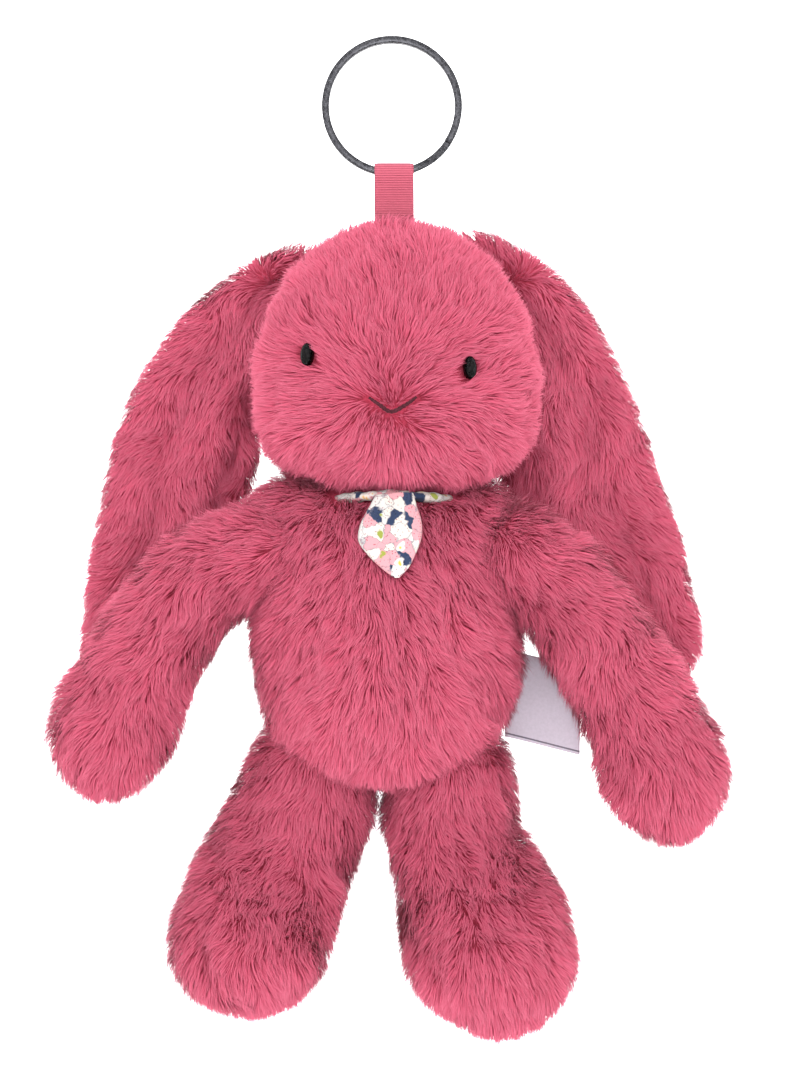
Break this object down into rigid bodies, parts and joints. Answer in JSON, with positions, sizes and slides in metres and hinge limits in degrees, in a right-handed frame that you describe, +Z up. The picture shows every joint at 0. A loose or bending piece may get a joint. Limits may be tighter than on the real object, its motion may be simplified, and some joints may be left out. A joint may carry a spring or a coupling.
{
  "type": "plush keychain",
  "caption": "Long-pile plush rabbit on a split ring and ribbon loop, with floppy ears, a folded cotton scarf end, stuffed arms and legs, and a sewn-in label.",
  "frame": {"origin": "centre of the split ring, on the plane between its two turns", "axes": "+Z up towards the top of the ring; the face looks along -Y; the rabbit's own left side is at +X"},
  "size_m": [0.1568, 0.0661, 0.2326],
  "materials": {
    "ring_steel": "dark plated steel, satin",
    "ribbon": "grosgrain with fine cross ribs",
    "fur": "long-pile plush, soft sheen",
    "filling": "polyester fibre filling",
    "eye_gloss": "polished black",
    "washer": "moulded plastic",
    "thread": "embroidery thread",
    "scarf_cotton": null,
    "label_satin": "satin tape, blank"
  },
  "bodies": {
    "ring": {"split_ring": "ring_steel"},
    "loop": {"ribbon_loop": "ribbon"},
    "head": {"head_shell": "fur", "head_stuffing": "filling", "ribbon_tab": "ribbon", "eye_left": "eye_gloss", "eye_right": "eye_gloss", "eye_washer_left": "washer", "eye_washer_right": "washer", "mouth_stitch": "thread"},
    "ear_left": {"ear_left_front_panel": "fur", "ear_left_back_panel": "fur"},
    "ear_right": {"ear_right_front_panel": "fur", "ear_right_back_panel": "fur"},
    "scarf": {"scarf_band": "scarf_cotton"},
    "scarf_end": {"scarf_tie": "scarf_cotton"},
    "torso": {"torso_shell": "fur", "torso_stuffing": "filling", "tail": "fur"},
    "label": {"label": "label_satin"},
    "arm_left": {"arm_left_shell": "fur", "arm_left_stuffing": "filling"},
    "arm_right": {"arm_right_shell": "fur", "arm_right_stuffing": "filling"},
    "leg_left": {"leg_left_shell": "fur", "leg_left_stuffing": "filling"},
    "leg_right": {"leg_right_shell": "fur", "leg_right_stuffing": "filling"}
  },
  "joints": [
    {"name": "ring_turn", "type": "hinge", "parent": "ring", "child": "loop", "pos_m": [0, 0, 0], "axis": [0, 1, 0], "continuous": true},
    {"name": "plush_swing", "type": "hinge", "parent": "loop", "child": "head", "pos_m": [0, 0, -0.015], "axis": [1, 0, 0], "range_deg": [-90, 90]},
    {"name": "ear_left_lift", "type": "hinge", "parent": "head", "child": "ear_left", "pos_m": [0.027, 0.0145, -0.0395], "axis": [0, -1, 0], "range_deg": [0, 120]},
    {"name": "ear_right_lift", "type": "hinge", "parent": "head", "child": "ear_right", "pos_m": [-0.026, 0.0145, -0.0405], "axis": [0, 1, 0], "range_deg": [0, 120]},
    {"name": "head_nod", "type": "hinge", "parent": "head", "child": "scarf", "pos_m": [0, 0, -0.0895], "axis": [1, 0, 0], "range_deg": [-12, 3], "stiffness_Nm_per_rad": 0.08},
    {"name": "head_tilt", "type": "hinge", "parent": "scarf", "child": "torso", "pos_m": [0, 0, -0.0895], "axis": [0, 1, 0], "range_deg": [-8, 8], "stiffness_Nm_per_rad": 0.08},
    {"name": "scarf_end_swing", "type": "hinge", "parent": "scarf", "child": "scarf_end", "pos_m": [0, -0.0174, -0.0898], "axis": [-1, 0, 0], "range_deg": [0, 60]},
    {"name": "label_flap", "type": "hinge", "parent": "torso", "child": "label", "pos_m": [0.027, 0.0086, -0.1361], "axis": [0, 0, 1], "range_deg": [0, 60], "stiffness_Nm_per_rad": 0.00005},
    {"name": "arm_left_raise", "type": "hinge", "parent": "torso", "child": "arm_left", "pos_m": [0.0284, -0.0045, -0.103], "axis": [0, -1, 0], "range_deg": [-5, 60], "stiffness_Nm_per_rad": 0.03},
    {"name": "arm_right_raise", "type": "hinge", "parent": "torso", "child": "arm_right", "pos_m": [-0.028, -0.0045, -0.1025], "axis": [0, 1, 0], "range_deg": [-5, 60], "stiffness_Nm_per_rad": 0.03},
    {"name": "leg_left_swing", "type": "hinge", "parent": "torso", "child": "leg_left", "pos_m": [0.0145, 0.003, -0.1528], "axis": [-1, 0, 0], "range_deg": [-15, 70], "stiffness_Nm_per_rad": 0.02},
    {"name": "leg_right_swing", "type": "hinge", "parent": "torso", "child": "leg_right", "pos_m": [-0.019, 0.003, -0.1528], "axis": [-1, 0, 0], "range_deg": [-15, 70], "stiffness_Nm_per_rad": 0.02}
  ]
}
